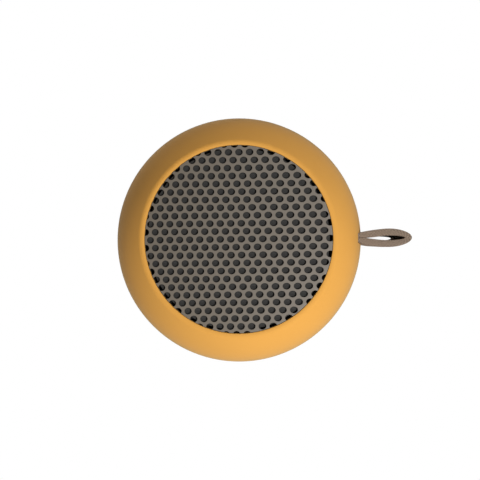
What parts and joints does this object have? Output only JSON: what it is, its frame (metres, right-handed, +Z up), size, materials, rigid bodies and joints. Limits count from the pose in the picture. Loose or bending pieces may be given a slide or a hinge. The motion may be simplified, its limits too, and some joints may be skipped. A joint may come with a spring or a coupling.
{
  "type": "portable bluetooth speaker",
  "caption": "Round pocket bluetooth speaker: rounded casing, domed perforated grille on top, side keys, covered charging port, short webbing loop.",
  "frame": {"origin": "middle of the underside of the base pad, where the speaker stands on a table", "axes": "+Z up along the speaker's axis, out through the grille; +X towards the strap; the charging port faces -X and the keys face -Y"},
  "size_m": [0.0996, 0.084, 0.0411],
  "materials": {
    "casing": "soft-touch orange",
    "grille": "satin taupe paint",
    "cloth": "dark acoustic cloth",
    "rubber": "matt dark rubber",
    "key_rubber": "matt orange silicone",
    "webbing": "woven taupe webbing",
    "steel": "plain",
    "ferrite": "sintered, dark grey",
    "cone_paper": "black pressed paper",
    "copper": "enamelled wire",
    "spider_cloth": "resin-stiffened cloth",
    "board": "green solder mask",
    "black_plastic": "moulded",
    "white_plastic": "moulded",
    "foam": "open-cell foam",
    "cell_wrap": "foil and film wrap",
    "light_pipe": "clear"
  },
  "bodies": {
    "casing": {"front_housing": "casing", "rear_housing": "casing", "case_seal": "rubber", "case_screw_1": "steel", "case_screw_2": "steel", "case_screw_3": "steel", "case_screw_4": "steel", "base_pad": "rubber", "grille": "grille", "grille_cloth": "cloth", "driver_basket": "steel", "driver_gasket": "foam", "driver_screw_1": "steel", "driver_screw_2": "steel", "driver_screw_3": "steel", "driver_screw_4": "steel", "driver_terminal": "black_plastic", "top_plate": "steel", "magnet": "ferrite", "yoke": "steel", "driver_surround": "rubber", "driver_spider": "spider_cloth", "main_board": "board", "board_screw_1": "steel", "board_screw_2": "steel", "board_screw_3": "steel", "bluetooth_module": "steel", "amplifier_chip": "black_plastic", "capacitor_1": "cell_wrap", "capacitor_2": "cell_wrap", "battery_socket": "white_plastic", "battery_plug": "white_plastic", "battery_lead": "rubber", "battery_cell": "cell_wrap", "battery_foam_bottom": "foam", "speaker_socket": "white_plastic", "speaker_plug": "white_plastic", "speaker_lead": "rubber", "charging_port": "steel", "status_led": "white_plastic", "led_light_pipe": "light_pipe", "key_switch_1": "black_plastic", "key_switch_2": "black_plastic", "key_switch_3": "black_plastic", "key_switch_4": "black_plastic", "strap_pin": "steel", "strap_root": "webbing"},
    "strap": {"strap_loop": "webbing"},
    "port_flap": {"port_cover": "key_rubber"},
    "cone": {"driver_cone": "cone_paper", "dust_cap": "cone_paper", "voice_coil": "copper"},
    "power_button": {"power_key": "key_rubber", "switch_stem_1": "white_plastic"},
    "volume_down_button": {"volume_down_key": "key_rubber", "switch_stem_2": "white_plastic"},
    "play_button": {"play_key": "key_rubber", "switch_stem_3": "white_plastic"},
    "volume_up_button": {"volume_up_key": "key_rubber", "switch_stem_4": "white_plastic"}
  },
  "joints": [
    {"name": "strap_swing", "type": "hinge", "parent": "casing", "child": "strap", "pos_m": [0.043, 0, 0.0209], "axis": [0, 0, 1], "range_deg": [-45, 45]},
    {"name": "power_press", "type": "slide", "parent": "casing", "child": "power_button", "axis": [0.5, 0.866, 0], "range_m": [0, 0.0005], "stiffness_N_per_m": 2000},
    {"name": "volume_down_press", "type": "slide", "parent": "casing", "child": "volume_down_button", "axis": [0.1736, 0.9848, 0], "range_m": [0, 0.0005], "stiffness_N_per_m": 2000},
    {"name": "play_press", "type": "slide", "parent": "casing", "child": "play_button", "axis": [-0.1736, 0.9848, 0], "range_m": [0, 0.0005], "stiffness_N_per_m": 2000},
    {"name": "volume_up_press", "type": "slide", "parent": "casing", "child": "volume_up_button", "axis": [-0.5, 0.866, 0], "range_m": [0, 0.0005], "stiffness_N_per_m": 2000},
    {"name": "port_cover_hinge", "type": "hinge", "parent": "casing", "child": "port_flap", "pos_m": [-0.0389, 0, 0.0133], "axis": [0, -1, 0], "range_deg": [0, 90], "stiffness_Nm_per_rad": 0.001},
    {"name": "cone_travel", "type": "slide", "parent": "casing", "child": "cone", "axis": [0, 0, 1], "range_m": [-0.0012, 0.0012], "stiffness_N_per_m": 1200, "deforming": ["driver_surround", "driver_spider"]}
  ]
}
